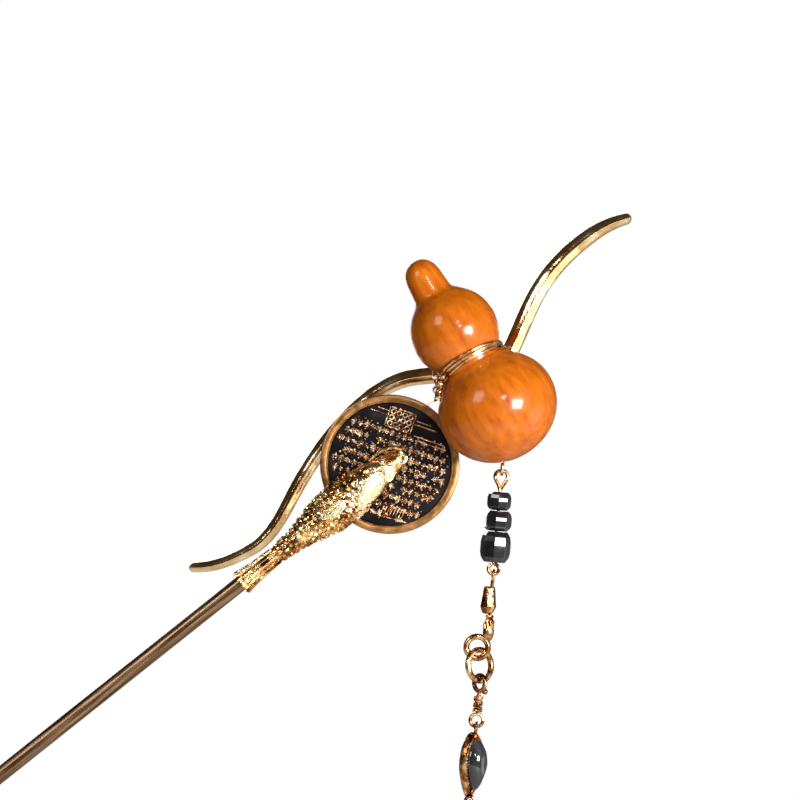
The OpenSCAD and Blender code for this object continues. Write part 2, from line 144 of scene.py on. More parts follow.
def at(x, y, z):
    """A place in millimetres."""
    return Matrix.Translation(Vector((x, y, z)) * MM)


def turn_by(angle, axis):
    """A turn in degrees."""
    return Matrix.Rotation(radians(angle), 4, axis)


def turned(name, outline, steps=64):
    """A piece turned about its z axis. outline is a chain of (radius, height) in millimetres."""
    clear()
    bpy.ops.mesh.primitive_plane_add(size=MM)
    piece = bpy.context.object
    piece.name = name
    edit_all()
    bpy.ops.mesh.merge(type="CENTER")
    here = Vector((outline[0][0] * MM, 0, outline[0][1] * MM))
    bpy.ops.transform.translate(value=here)
    for r, z in outline[1:]:
        there = Vector((r * MM, 0, z * MM))
        bpy.ops.mesh.extrude_region_move(TRANSFORM_OT_translate={"value": there - here})
        here = there
    bpy.ops.mesh.select_all(action="SELECT")
    bpy.ops.mesh.spin(steps=steps, angle=2 * pi, center=(0, 0, 0), axis=(0, 0, 1))
    bpy.ops.mesh.select_all(action="SELECT")
    bpy.ops.mesh.remove_doubles(threshold=1e-6)
    bpy.ops.mesh.normals_make_consistent(inside=False)
    bpy.ops.object.mode_set(mode="OBJECT")
    return piece


def put(piece, where):
    """Moves the piece's mesh by a matrix, so that its object stays at the origin."""
    pick(piece)
    piece.matrix_world = where @ piece.matrix_world
    bpy.ops.object.transform_apply(location=True, rotation=True, scale=True)
    return piece


def joined(name, pieces):
    clear()
    for piece in pieces:
        piece.select_set(True)
    bpy.context.view_layer.objects.active = pieces[0]
    bpy.ops.object.join()
    piece = bpy.context.object
    piece.name = name
    return piece


def done(piece, body, slot, material, *nodes, angle=35):
    """Smooths the piece, gives it its finish, and fixes it to its body."""
    pick(piece)
    bpy.ops.object.transform_apply(location=True, rotation=True, scale=True)
    bpy.ops.object.shade_smooth_by_angle(angle=radians(angle))
    piece.data.materials.clear()
    piece.data.materials.append(material)
    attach(piece, body)
    if nodes:
        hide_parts(*nodes)
    return piece


def finish(name, metallic=0.0, coat=0.0):
    material = bpy.data.materials.new(name)
    material.use_nodes = True
    shader = material.node_tree.nodes["Principled BSDF"]
    shader.inputs["Metallic"].default_value = metallic
    if coat:
        shader.inputs["Coat Weight"].default_value = coat
        shader.inputs["Coat Roughness"].default_value = 0.03
    return material, shader


def pattern(material, size, turn=(0, 0, 0), stretch=(1, 1, 1), detail=5.0):
    """A pattern on the piece's own coordinates, turned in degrees and then stretched."""
    nodes, links = material.node_tree.nodes, material.node_tree.links
    own = nodes.new("ShaderNodeTexCoord")
    spin = nodes.new("ShaderNodeMapping")
    spin.inputs["Rotation"].default_value = [radians(a) for a in turn]
    pull = nodes.new("ShaderNodeMapping")
    pull.inputs["Scale"].default_value = stretch
    texture = nodes.new("ShaderNodeTexNoise")
    texture.inputs["Scale"].default_value = size
    links.new(own.outputs["Object"], spin.inputs["Vector"])
    links.new(spin.outputs["Vector"], pull.inputs["Vector"])
    links.new(pull.outputs["Vector"], texture.inputs["Vector"])
    texture.inputs["Detail"].default_value = detail
    return texture.outputs["Fac"]


def coloured(material, shader, mark, stops):
    """Base colour by a ramp of (place, colour) over the mark."""
    nodes, links = material.node_tree.nodes, material.node_tree.links
    ramp = nodes.new("ShaderNodeValToRGB")
    ramp.color_ramp.elements[0].position = stops[0][0]
    ramp.color_ramp.elements[0].color = (*stops[0][1], 1)
    ramp.color_ramp.elements[1].position = stops[-1][0]
    ramp.color_ramp.elements[1].color = (*stops[-1][1], 1)
    for place, colour in stops[1:-1]:
        ramp.color_ramp.elements.new(place).color = (*colour, 1)
    links.new(mark, ramp.inputs["Fac"])
    links.new(ramp.outputs["Color"], shader.inputs["Base Color"])


def worn(material, shader, mark, smooth, rough):
    """Roughness between two values, over the mark."""
    nodes, links = material.node_tree.nodes, material.node_tree.links
    spread = nodes.new("ShaderNodeMapRange")
    spread.inputs["From Min"].default_value = 0.35
    spread.inputs["From Max"].default_value = 0.65
    spread.inputs["To Min"].default_value = smooth
    spread.inputs["To Max"].default_value = rough
    links.new(mark, spread.inputs["Value"])
    links.new(spread.outputs["Result"], shader.inputs["Roughness"])


def dented(material, shader, mark, depth):
    """Relief of that depth in metres, from the mark. A second call adds to the first."""
    nodes, links = material.node_tree.nodes, material.node_tree.links
    bump = nodes.new("ShaderNodeBump")
    bump.inputs["Strength"].default_value = 1.0
    bump.inputs["Distance"].default_value = depth
    links.new(mark, bump.inputs["Height"])
    before = shader.inputs["Normal"].links
    if before:
        links.new(before[0].from_socket, bump.inputs["Normal"])
    links.new(bump.outputs["Normal"], shader.inputs["Normal"])


shaft_angle = 43.3
shaft_r = 1.25
shaft_len = 120
tip_len = 14
tenon_r = 0.85
tenon_len = 8
along_shaft = turn_by(90 - shaft_angle, "Y")
shaft_turn = (0, shaft_angle - 90, 0)

shaft = turned("shaft", [
    (0, -shaft_len), (0.35, 0.1 - shaft_len), (0.6, 0.5 - shaft_len),
    (shaft_r - 0.05, tip_len - shaft_len - 1),
    (shaft_r, tip_len - shaft_len + 1), (shaft_r, -0.12), (shaft_r - 0.12, 0), (tenon_r, 0),
    (tenon_r, tenon_len - 0.15), (tenon_r - 0.15, tenon_len), (0, tenon_len)])
put(shaft, along_shaft)
rose, shader = finish("rose_bronze_rod", metallic=1.0)
streak = pattern(rose, 2600, shaft_turn, (1, 1, 0.035))
coloured(rose, shader, streak, [
    (0.30, (0.085, 0.042, 0.019)), (0.47, (0.19, 0.108, 0.055)), (0.58, (0.28, 0.175, 0.10)),
    (0.74, (0.46, 0.33, 0.21))])
worn(rose, shader, streak, 0.22, 0.42)
dented(rose, shader, pattern(rose, 5200, shaft_turn, (1, 1, 0.05)), 0.00002)
done(shaft, "pin", "shaft_metal", rose, "shaft")

# ---------------------------------------------------------------- Fish
# Cast carp in bright gold plate: a flared ribbed tail that holds the rod, a body covered with small raised
# scales, a leaf-shaped fin on its side, and a head of smooth polished plates. Its back is flat.


def wire(name, points, radius, closed=False, radii=None, kind="NURBS", sides=2):
    """A wire bent along points in millimetres. radii thickens or thins it from point to point."""
    clear()
    bpy.ops.curve.primitive_nurbs_path_add()
    rope = bpy.context.object
    rope.name = name
    rope.data.splines.clear()
    run = rope.data.splines.new(kind)
    run.points.add(len(points) - 1)
    for k, p in enumerate(points):
        run.points[k].co = (p[0] * MM, p[1] * MM, p[2] * MM, 1)
        run.points[k].radius = radii[k] if radii else 1
    run.use_cyclic_u = closed
    if kind == "NURBS":
        run.order_u = 4
        run.resolution_u = 4
        run.use_endpoint_u = not closed
    rope.data.resolution_u = 4
    rope.data.bevel_depth = radius * MM
    rope.data.bevel_resolution = sides
    rope.data.use_fill_caps = not closed
    pick(rope)
    bpy.ops.object.convert(target="MESH")
    edit_all()
    bpy.ops.mesh.remove_doubles(threshold=1e-7)
    bpy.ops.mesh.normals_make_consistent(inside=False)
    bpy.ops.object.mode_set(mode="OBJECT")
    return bpy.context.object


def pebble(name, size, rings=5, segments=8):
    """A rounded nugget of that half width, thickness and half length, in millimetres."""
    clear()
    bpy.ops.mesh.primitive_uv_sphere_add(segments=segments, ring_count=rings, radius=MM)
    piece = bpy.context.object
    piece.name = name
    piece.scale = size
    bpy.ops.object.transform_apply(location=False, rotation=False, scale=True)
    return piece


def copy_of(piece, where):
    twin = piece.copy()
    twin.data = piece.data.copy()
    bpy.context.collection.objects.link(twin)
    twin.matrix_world = where
    return twin


fish_outline = [
    (-0.8, 1.78), (-0.5, 1.74), (0.2, 1.58), (1.4, 1.44), (3, 1.36), (6, 1.34), (7.2, 1.36), (8, 1.5),
    (10, 1.6),
    (12, 2.02), (14, 2.52), (16, 3.0), (18, 3.28), (20, 3.38), (22, 3.4), (24, 3.15), (26, 2.85),
    (28, 2.45), (30, 1.95),
    (31.6, 1.5), (32.6, 1.0), (33, 0.45)
]


def fish_r(s):
    for (s0, r0), (s1, r1) in zip(fish_outline, fish_outline[1:]):
        if s <= s1:
            return r0 + (r1 - r0) * (s - s0) / (s1 - s0)
    return fish_outline[-1][1]


def on_fish(s, angle, lift=0.0, lean=0.0, spin=0.0):
    """A place on the fish's skin. Angle 0 faces the front and 90 the belly; z runs to the nose, -y outwards."""
    slope = degrees(atan2(fish_r(s + 0.3) - fish_r(s - 0.3), 0.6))
    ring = turn_by(angle, "Z")
    out_by = Matrix.Translation((0, -(fish_r(s) + lift) * MM, s * MM))
    tip = turn_by(slope + lean, "X")
    return ring @ out_by @ tip @ turn_by(spin, "Y")


mouth_r = 1.27
socket_r = tenon_r + 0.02
skin = [(mouth_r, -0.8)] + [(r, s) for s, r in fish_outline] + [(0, 33.05)]
bore = [(0, 8.1), (socket_r, 8.1), (socket_r, 0), (mouth_r, 0), (mouth_r, -0.8)]
body = turned("carp_body", bore + skin[1:], steps=72)
edit_all()
bpy.ops.mesh.bisect(plane_co=(0, 2.6 * MM, 0), plane_no=(0, 1, 0), clear_outer=True, use_fill=True)
bpy.ops.object.mode_set(mode="OBJECT")
fish = [body]

# Tail rays, and the folded rim of the tail
for k in range(12):
    a = 360 / 12 * k + 8
    points = []
    for s, lift in [(-0.8, 0.02), (-0.3, 0.05), (1.2, 0.06), (3.4, 0.06), (6.4, 0.02)]:
        points.append((on_fish(s, a) @ Vector((0, -lift * MM, 0))) / MM)
    fish.append(wire("tail_ray", points, 0.24, radii=[1.3, 1.25, 1.0, 0.8, 0.6]))
for a in (-90, 90):
    tip_of = pebble("tail_tip", (0.42, 0.3, 0.7))
    fish.append(put(tip_of, on_fish(-0.35, a, lift=-0.1, lean=8)))

# Knuckles between the tail and the body
knuckle = pebble("knuckle", (0.42, 0.3, 0.55))
for k in range(9):
    a = 40 * k + (k * k * 7) % 11
    for s, share in ((7.3, 0.9), (8.3, 1.0)):
        fish.append(copy_of(knuckle, on_fish(s, a + 17 * (s > 8),
            lean=(k * 5) % 9 - 4) @ Matrix.Scale(share, 4)))

# Scales: rough nuggets in loose rows that grow with the body
scale = pebble("scale", (0.42, 0.34, 0.46), rings=4, segments=6)
scales_from, row_step = 9.2, 0.74
back_edge = 128
for row in range(19):
    r = fish_r(scales_from + row * row_step)
    count = max(9, int(2 * pi * r / 0.8))
    for k in range(count):
        wobble = ((row * 37 + k * 53) % 17) / 17
        drift = ((row * 11 + k * 29) % 13) / 13
        s = scales_from + row * row_step + 0.7 * (wobble - 0.5)
        a = 360 / count * (k + 0.5 * (row % 2) + 0.5 * drift) - 180
        if abs(a) > back_edge:
            continue
        size = 0.6 + 0.6 * drift + 0.012 * row
        fish.append(copy_of(scale, on_fish(s, a, lift=0.16 * wobble - 0.08, lean=60 * drift - 50,
            spin=150 * wobble)
                            @ Matrix.Diagonal((size * (0.7 + 0.6 * wobble), size,
                            size * (1.3 - 0.5 * wobble), 1))))

# Nuggets at the collar and on the crown of the head
nugget = pebble("nugget", (0.4, 0.34, 0.42), rings=4, segments=6)
for k in range(26):
    s = 21.6 + (k * 7) % 5 * 0.55
    a = -62 + 5.2 * k
    wobble = ((k * 29) % 13) / 13
    fish.append(copy_of(nugget, on_fish(s, a, lean=30 * wobble,
        spin=60 * wobble) @ Matrix.Scale(0.8 + 0.5 * wobble, 4)))
for k in range(12):
    s = 24.4 + 0.42 * k
    wobble = ((k * 31) % 13) / 13
    fish.append(copy_of(nugget, on_fish(s, -44 + 9 * (k % 3) - k,
        lean=20 * wobble) @ Matrix.Scale(0.6 + 0.35 * wobble, 4)))

# Side fin: a raised leaf with a rim and rays
fin_s, fin_a, fin_spin = 18.4, 3, -6
leaf = pebble("side_fin", (0.95, 0.35, 2.0), rings=10, segments=16)
fish.append(put(leaf, on_fish(fin_s, fin_a, lift=0.12, spin=fin_spin)))
rim = [(0.98 * sin(2 * pi * k / 16), -0.2 * abs(sin(2 * pi * k / 16)),
    2.1 * cos(2 * pi * k / 16)) for k in range(16)]
fish.append(put(wire("fin_rim", rim, 0.13, closed=True), on_fish(fin_s, fin_a, lift=0.24, spin=fin_spin)))
for k in (-1, 0, 1):
    fish.append(put(wire("fin_ray", [(0.42 * k, -0.32, -1.2), (0.5 * k, -0.4, 0), (0.3 * k, -0.32, 1.3)],
        0.1),
                    on_fish(fin_s, fin_a, lift=0.2, spin=fin_spin)))

# Gill cover, cheek and crown: polished plates with a thin raised edge
plates = [(25.2, 20, 1.7, 2.9, -10), (28.9, 22, 1.15, 1.5, -20), (27.3, -32, 1.0, 1.9, 8),
    (24.2, -22, 1.0, 1.5, 0)]
for k, (s, a, wide, long, turn) in enumerate(plates):
    plate = pebble("head_plate", (wide, 0.42, long), rings=12, segments=24)
    fish.append(put(plate, on_fish(s, a, lift=-0.05, spin=turn)))
    edge = [(wide * sin(2 * pi * j / 20), 0.0, long * cos(2 * pi * j / 20)) for j in range(20)]
    if k < 2:
        fish.append(put(wire("plate_edge", edge, 0.12, closed=True), on_fish(s, a, lift=0.06, spin=turn)))

# Eye in its ring, lips, and the barbel that arches over the head
eye_at = on_fish(29.2, -30, lift=0.1)
fish.append(put(pebble("eye", (0.34, 0.3, 0.34), rings=10, segments=16), eye_at))
fish.append(put(wire("eye_ring", [(0.48 * sin(2 * pi * j / 12), -0.05,
    0.48 * cos(2 * pi * j / 12)) for j in range(12)],
                     0.14, closed=True), eye_at))
lips = [(0.72 * cos(radians(a)), -0.5, 0.72 * sin(radians(a))) for a in range(-150, 151, 30)]
fish.append(put(wire("lips", lips, 0.26), Matrix.Translation((0.45 * MM, -0.9 * MM, 32.0 * MM))))
fish.append(put(pebble("nose", (0.62, 0.6, 0.5), rings=8, segments=14),
    Matrix.Translation((-0.35 * MM, -1.0 * MM, 32.4 * MM))))
barbel = [(-2.6, -1.0, 27.6), (-2.75, -1.5, 29.2), (-2.6, -1.7, 30.8), (-1.9, -1.7, 32.2),
    (-0.8, -1.5, 32.9)]
fish.append(wire("barbel", barbel, 0.28, radii=[0.6, 0.9, 1, 1, 0.8]))

# Small fins at the back and the belly
for side, s in ((-1, 16.6), (1, 18.0)):
    for k in range(4):
        root = on_fish(s + 0.75 * k, 90 * side, lift=-0.2) @ Vector((0, 0, 0)) / MM
        tip_p = on_fish(s + 0.75 * k - 0.9, 90 * side, lift=0.42 - 0.1 * k) @ Vector((0, 0, 0)) / MM
        fish.append(wire("fin_spine", [root, (root + tip_p) / 2 + Vector((0.1 * side, 0, 0.1)), tip_p],
            0.26, radii=[1.2, 1, 0.5]))

for spare in (knuckle, scale, nugget):
    bpy.data.objects.remove(spare)
carp = joined("carp", fish)
# Painted shade: each corner gets a value that is high on the raised scales, nuggets and plates and low in the
# crevices between them. It is lowered further on the belly side of the rear half and on the back side of the
# front half. The colour below is darker where this value is low.
painted_shade = []
for corner in carp.data.vertices:
    x, y, s = corner.co / MM
    above = min(1, max(0, (sqrt(x * x + y * y) - fish_r(s)) / 0.42))
    shaded = 0.9 * max(0, x / fish_r(s)) if s < 20 else 0.8 * max(0, -x / fish_r(s))
    painted_shade.append(max(0, above - shaded))
carp.data.attributes.new("painted_shade", "FLOAT", "POINT").data.foreach_set("value", painted_shade)
put(carp, along_shaft)
bright, shader = finish("bright_gold_cast", metallic=1.0)
cloud = pattern(bright, 420, detail=6)
# Painted shade: the base colour follows the per-corner shade value set above, mixed with a random cloud, so the
# gold is darker in the crevices and on the shaded sides.
raised = bright.node_tree.nodes.new("ShaderNodeAttribute")
raised.attribute_name = "painted_shade"
part = bright.node_tree.nodes.new("ShaderNodeMath")
part.operation = "MULTIPLY_ADD"
part.inputs[1].default_value = 0.68
bright.node_tree.links.new(raised.outputs["Fac"], part.inputs[0])
bright.node_tree.links.new(cloud, part.inputs[2])
coloured(bright, shader, part.outputs["Value"], [
    (0.34, (0.10, 0.028, 0.010)), (0.48, (0.42, 0.17, 0.05)), (0.62, (0.90, 0.58, 0.22)),
    (0.82, (1.0, 0.84, 0.50))])
worn(bright, shader, cloud, 0.12, 0.27)
dented(bright, shader, pattern(bright, 1000, detail=4), 0.00026)
done(carp, "pin", "bright_gold", bright, "carp_casting")

# ---------------------------------------------------------------- Medallion
# Round stamped disc: a satin bronze plate with a raised rim, black enamel in its recess, and a gilt
# relief of lattice, lines, leaf sprigs, blossoms and a row of bars that stands up out of the enamel.

coin_x = 21.7
coin_z = 20.5
coin_r = 11.3
rim_w = 1.3
coin_front = 2.6
recess_t = 0.8
coin_t = 1.7
enamel_t = 0.35
enamel_front = coin_front + recess_t - enamel_t
on_coin = Matrix.Translation((coin_x * MM, coin_front * MM, coin_z * MM)) @ turn_by(-90, "X")

inner = coin_r - rim_w
plate = turned("medallion_plate", [
    (0, recess_t), (inner, recess_t), (inner, 0.16), (inner + 0.1, 0.05), (inner + 0.22, 0.05),
    (inner + 0.3, 0.13),
    (inner + 0.45, 0.1), (coin_r - 0.32, 0.06), (coin_r - 0.1, 0.16), (coin_r, 0.42),
    (coin_r, coin_t - 0.3),
    (coin_r - 0.2, coin_t - 0.06), (coin_r - 0.5, coin_t), (0, coin_t)], steps=160)
put(plate, on_coin)
bronze, shader = finish("satin_bronze_rim", metallic=1.0)
haze = pattern(bronze, 900)
coloured(bronze, shader, haze, [(0.3, (0.28, 0.13, 0.042)), (0.52, (0.36, 0.18, 0.062)),
    (0.72, (0.48, 0.25, 0.09))])
worn(bronze, shader, haze, 0.32, 0.5)
dented(bronze, shader, pattern(bronze, 2600), 0.00003)
done(plate, "pin", "rim_bronze", bronze, "medallion_plate")

enamel = turned("medallion_enamel", [
    (0, recess_t - enamel_t), (inner - 0.5, recess_t - enamel_t),
    (inner - 0.12, recess_t - enamel_t + 0.05),
    (inner - 0.02, recess_t - enamel_t + 0.16), (inner - 0.02, recess_t), (0, recess_t)], steps=128)
put(enamel, on_coin)
black, shader = finish("black_enamel", coat=0.15)
shader.inputs["Specular IOR Level"].default_value = 0.1
pool = pattern(black, 260)
coloured(black, shader, pool, [(0.3, (0.003, 0.003, 0.004)), (0.55, (0.008, 0.006, 0.008)),
    (0.75, (0.020, 0.024, 0.022))])
worn(black, shader, pool, 0.22, 0.4)
dented(black, shader, pattern(black, 700), 0.00004)
done(enamel, "pin", "black_enamel", black, "medallion_enamel")

relief_turn = 14
nose_s = 33


def bar_of(long, wide, high=0.3):
    """A short raised stroke with rounded edges, along x."""
    clear()
    bpy.ops.mesh.primitive_cube_add(size=MM)
    stroke = bpy.context.object
    stroke.scale = (long, high, wide)
    bpy.ops.object.transform_apply(location=False, rotation=False, scale=True)
    edit_all()
    bpy.ops.mesh.bevel(offset=min(long, wide) * 0.25 * MM, segments=1)
    bpy.ops.object.mode_set(mode="OBJECT")
    return stroke


def at_relief(u, v, turn=0.0):
    """A place on the enamel: u to the right and v up along the ornament's own tilt."""
    return (Matrix.Translation((coin_x * MM, (enamel_front - 0.1) * MM,
        coin_z * MM)) @ turn_by(relief_turn, "Y")
            @ Matrix.Translation((u * MM, 0, v * MM)) @ turn_by(-turn, "Y"))


def free(u, v, room=0.6):
    """True where the enamel shows: inside the rim and clear of the fish."""
    spot = at_relief(u, v) @ Vector((0, 0, 0)) / MM
    if sqrt(u * u + v * v) > inner - room:
        return False
    s = spot.x * cos(radians(shaft_angle)) + spot.z * sin(radians(shaft_angle))
    side = spot.x * sin(radians(shaft_angle)) - spot.z * cos(radians(shaft_angle))
    return s > nose_s + 0.6 or abs(side) > fish_r(min(s, nose_s)) - 0.4


def stroke(u, v, turn, long, wide=0.2):
    return put(bar_of(long, wide), at_relief(u, v, turn))


ornament = []
ring_cell = [(0.38 * sin(2 * pi * j / 8), 0, 0.38 * cos(2 * pi * j / 8)) for j in range(8)]
cell = wire("lattice_cell", ring_cell, 0.12, closed=True, sides=1, kind="POLY")
cell_step = 0.98
for i in range(4):
    for j in range(3):
        ornament.append(copy_of(cell, at_relief(-2.15 + cell_step * i, 6.35 + cell_step * j)))
bpy.data.objects.remove(cell)
for v in (5.75, 8.95):
    ornament.append(stroke(-0.65, v, 0, 4.5, 0.2))
for u in (-2.85, 1.5):
    ornament.append(stroke(u, 7.35, 90, 3.2, 0.2))
for v, u0, u1 in ((8.2, -4.8, -3.0), (7.5, -5.8, -3.0), (8.0, 1.7, 4.4), (7.4, 1.7, 5.6), (5.6, 2.2, 7.4),
    (5.0, 2.6, 7.9)):
    ornament.append(stroke((u0 + u1) / 2, v, 0, u1 - u0, 0.17))

# One leaf sprig: a stem, three pairs of leaves and a berry at the tip
stem = [bar_of(0.14, 1.5, 0.36)]
for k, v in enumerate((-0.35, 0.0, 0.35)):
    for side in (-1, 1):
        twig = bar_of(0.55, 0.13, 0.34)
        put(twig, Matrix.Translation((side * 0.26 * MM, 0, v * MM)) @ turn_by(-side * 35, "Y"))
        stem.append(twig)
berry = pebble("berry", (0.2, 0.22, 0.2), rings=4, segments=8)
put(berry, Matrix.Translation((0, -0.06 * MM, 0.66 * MM)))
stem.append(berry)
sprig = joined("sprig", stem)

# One blossom: five petals round a stud
petals = [pebble("stud", (0.13, 0.26, 0.13), rings=4, segments=8)]
for k in range(5):
    petal = pebble("petal", (0.17, 0.2, 0.25), rings=4, segments=6)
    petals.append(put(petal, turn_by(72 * k, "Y") @ Matrix.Translation((0, 0, 0.34 * MM))))
blossom = joined("blossom", petals)
dot = pebble("dot", (0.17, 0.2, 0.17), rings=4, segments=8)
mark_step, line_step = 1.08, 1.62
for row in range(9):
    v = 4.9 - row * line_step
    for k in range(19):
        u = -9.9 + mark_step * k + 0.5 * (row % 2)
        wobble = ((row * 17 + k * 29) % 11) / 11
        mark = blossom if (row * 5 + k * 7) % 3 == 0 else sprig
        if free(u, v) and (row * 3 + k * 5) % 14:
            ornament.append(copy_of(mark, at_relief(u, v,
                90 * ((row + k * 3) % 4) + 50 * wobble - 25) @ Matrix.Scale(0.72 + 0.34 * wobble, 4)))
        if free(u + 0.5, v + 0.8):
            ornament.append(copy_of(dot, at_relief(u + 0.5,
                v + 0.75 + 0.25 * wobble) @ Matrix.Scale(0.6 + 0.6 * wobble, 4)))
bpy.data.objects.remove(sprig)
bpy.data.objects.remove(blossom)
bpy.data.objects.remove(dot)

# Row of bars on a base line at the lower edge
for k in range(8):
    ornament.append(stroke(1.2 + 0.5 * k, -7.35 + 0.08 * k, 82, 1.5, 0.17))
ornament.append(stroke(3.1, -8.25, 3, 5.0, 0.15))
relief = joined("medallion_relief", ornament)
gilt, shader = finish("gilt_relief", metallic=1.0)
patina = pattern(gilt, 1100)
coloured(gilt, shader, patina, [(0.38, (0.38, 0.15, 0.06)), (0.48, (0.84, 0.47, 0.24)),
    (0.6, (1.0, 0.78, 0.50))])
worn(gilt, shader, patina, 0.16, 0.36)
dented(gilt, shader, pattern(gilt, 1900, detail=3), 0.0002)
done(relief, "pin", "relief_gilt", gilt, "medallion_relief")

# Solder between the pieces, on the frame's own solids
tin, shader = finish("tin_solder", metallic=1.0)
blotch = pattern(tin, 1200)
coloured(tin, shader, blotch, [(0.3, (0.34, 0.32, 0.28)), (0.7, (0.62, 0.58, 0.5))])
worn(tin, shader, blotch, 0.3, 0.6)
dented(tin, shader, blotch, 0.00005)
for node in ("carp_solder", "bar_solder"):
    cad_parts[node].data.materials.clear()
    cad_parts[node].data.materials.append(tin)

# ---------------------------------------------------------------- Wave bar
# Flat bar hammered along its edges to a long low ridge, bent into a wave and gilt. It runs behind the
# medallion, where a solder peg holds it, and behind the gourd's waist, where the lashing holds it.

bar_front = coin_front + coin_t
bar_t = 2.2
bar_back = bar_front + bar_t
bar_knots = [
    (-8.6, 1.15, 1, 0.05, 1.7), (0.4, 4.8, 0.83, 0.56, 2.1), (7.2, 16.0, 0.42, 0.91, 2.4),
    (15.0, 28.4, 0.66, 0.75, 2.6), (24.1, 34.8, 0.97, 0.24, 2.7), (33.2, 36.9, 0.93, 0.37, 2.8),
    (39.8, 40.8, 0.36, 0.93, 2.9), (44.6, 52.8, 0.53, 0.85, 2.85), (50.85, 60.0, 0.76, 0.65, 2.6),
    (56.6, 63.4, 0.95, 0.31, 1.9)]


def bar_line(per):
    """The bar's middle line as (x, z, width), with the bends between the knots."""
    line = []
    for a, b in zip(bar_knots, bar_knots[1:]):
        reach = sqrt((b[0] - a[0]) ** 2 + (b[1] - a[1]) ** 2)
        for k in range(per):
            t = k / per
            h00, h10 = 2 * t ** 3 - 3 * t ** 2 + 1, t ** 3 - 2 * t ** 2 + t
            h01, h11 = 3 * t ** 2 - 2 * t ** 3, t ** 3 - t ** 2
            line.append((h00 * a[0] + h10 * reach * a[2] + h01 * b[0] + h11 * reach * b[2],
                         h00 * a[1] + h10 * reach * a[3] + h01 * b[1] + h11 * reach * b[3],
                         a[4] + (b[4] - a[4]) * t))
    line.append((bar_knots[-1][0], bar_knots[-1][1], bar_knots[-1][4]))
    return line


def bar_piece(name, per, front_profile, grow=0.0):
    """The bar as a chain of cross-sections drawn out along its middle line.
    front_profile is (share of the half width, depth in front of the back)."""
    line = bar_line(per)
    stations = []
    n = len(line)
    for k, (x, z, w) in enumerate(line):
        x0, z0, _ = line[max(k - 1, 0)]
        x1, z1, _ = line[min(k + 1, n - 1)]
        t = Vector((x1 - x0, z1 - z0)).normalized()
        stations.append((x, z, t, w / 2 + grow, 1.0))
    x, z, t, half, _ = stations[0]
    head = [(x - half * sin(radians(a)) * t.x, z - half * sin(radians(a)) * t.y, t, half * cos(radians(a)),
        cos(radians(a)))
            for a in (84, 68, 48, 26)]
    x, z, t, half, _ = stations[-1]
    tail = [(x + half * sin(radians(a)) * t.x, z + half * sin(radians(a)) * t.y, t, half * cos(radians(a)),
        cos(radians(a)))
            for a in (26, 48, 68, 84)]
    clear()
    bpy.ops.mesh.primitive_circle_add(vertices=len(front_profile), radius=MM, fill_type="NGON")
    piece = bpy.context.object
    piece.name = name
    edit_all()
    all_stations = head + stations + tail
    for _ in all_stations[1:]:
        bpy.ops.mesh.extrude_region_move(TRANSFORM_OT_translate={"value": (0, 0, MM)})
    bpy.ops.object.mode_set(mode="OBJECT")
    size = len(front_profile)
    for k, (x, z, t, half, deep) in enumerate(all_stations):
        across = Vector((-t.y, t.x))
        for j, (share, depth) in enumerate(front_profile):
            middle = bar_t / 2
            y = bar_back - middle - (depth - middle) * (0.35 + 0.65 * deep)
            piece.data.vertices[k * size + j].co = Vector((x + across.x * half * share, y,
                z + across.y * half * share)) * MM
    edit_all()
    bpy.ops.mesh.normals_make_consistent(inside=False)
    bpy.ops.object.mode_set(mode="OBJECT")
    return piece


ridge = bar_t
wave = bar_piece("wave_bar", 12, [
    (-0.92, 0.12), (-1.0, 0.35), (-1.0, 0.95), (-0.93, 1.2), (-0.5, 1.75), (-0.16, ridge - 0.14),
    (-0.1, ridge - 0.02), (-0.03, ridge),
    (0.04, ridge - 0.1), (0.3, ridge - 0.22), (0.56, ridge - 0.42), (0.76, 1.45), (0.9, 1.05), (1.0, 0.6),
    (0.97, 0.25), (0.9, 0.02), (0.0, 0.0), (-0.8, 0.02)])
hammered, shader = finish("hammered_gold_bar", metallic=1.0)
wash = pattern(hammered, 300, detail=6)
coloured(hammered, shader, wash, [(0.3, (0.62, 0.36, 0.15)), (0.5, (0.86, 0.58, 0.28)),
    (0.66, (1.0, 0.80, 0.50))])
worn(hammered, shader, wash, 0.10, 0.22)
dented(hammered, shader, pattern(hammered, 300, detail=1), 0.0002)
dented(hammered, shader, pattern(hammered, 1700, detail=3), 0.00003)
done(wave, "pin", "bar_gold", hammered, "wave_bar", angle=50)

# ---------------------------------------------------------------- Gourd
# Turned from one block of amber-coloured wood and polished under clear lacquer, with a shallow seat cut
# in its back for the bar.

gourd_at = Vector((38.2, -3.4, 31.2))
gourd_lean = 145.3
bulb_r, bulb_h = 9.75, 8.8
upper_r, upper_s = 7.05, -14.2
waist_r, waist_s = 5.1, -8.7
stem_top = -26.9
crown = -23.6
on_gourd = Matrix.Translation(gourd_at * MM) @ turn_by(gourd_lean, "Y")


def gourd_radius(s):
    low = bulb_r * sqrt(max(0, 1 - (s / bulb_h) ** 2))
    up = upper_r * sqrt(max(0, 1 - ((s - upper_s) / upper_r) ** 2))
    waist = waist_r if upper_s < s < 0 else 0
    end = max(0, crown - s) / (crown - stem_top)
    stem = (3.2 + 0.09 * (s + 21)) * max(0, 1 - end ** 2.4) ** 0.42 if s < upper_s else 0
    return (low ** 7 + up ** 7 + waist ** 7 + stem ** 7) ** (1 / 7)


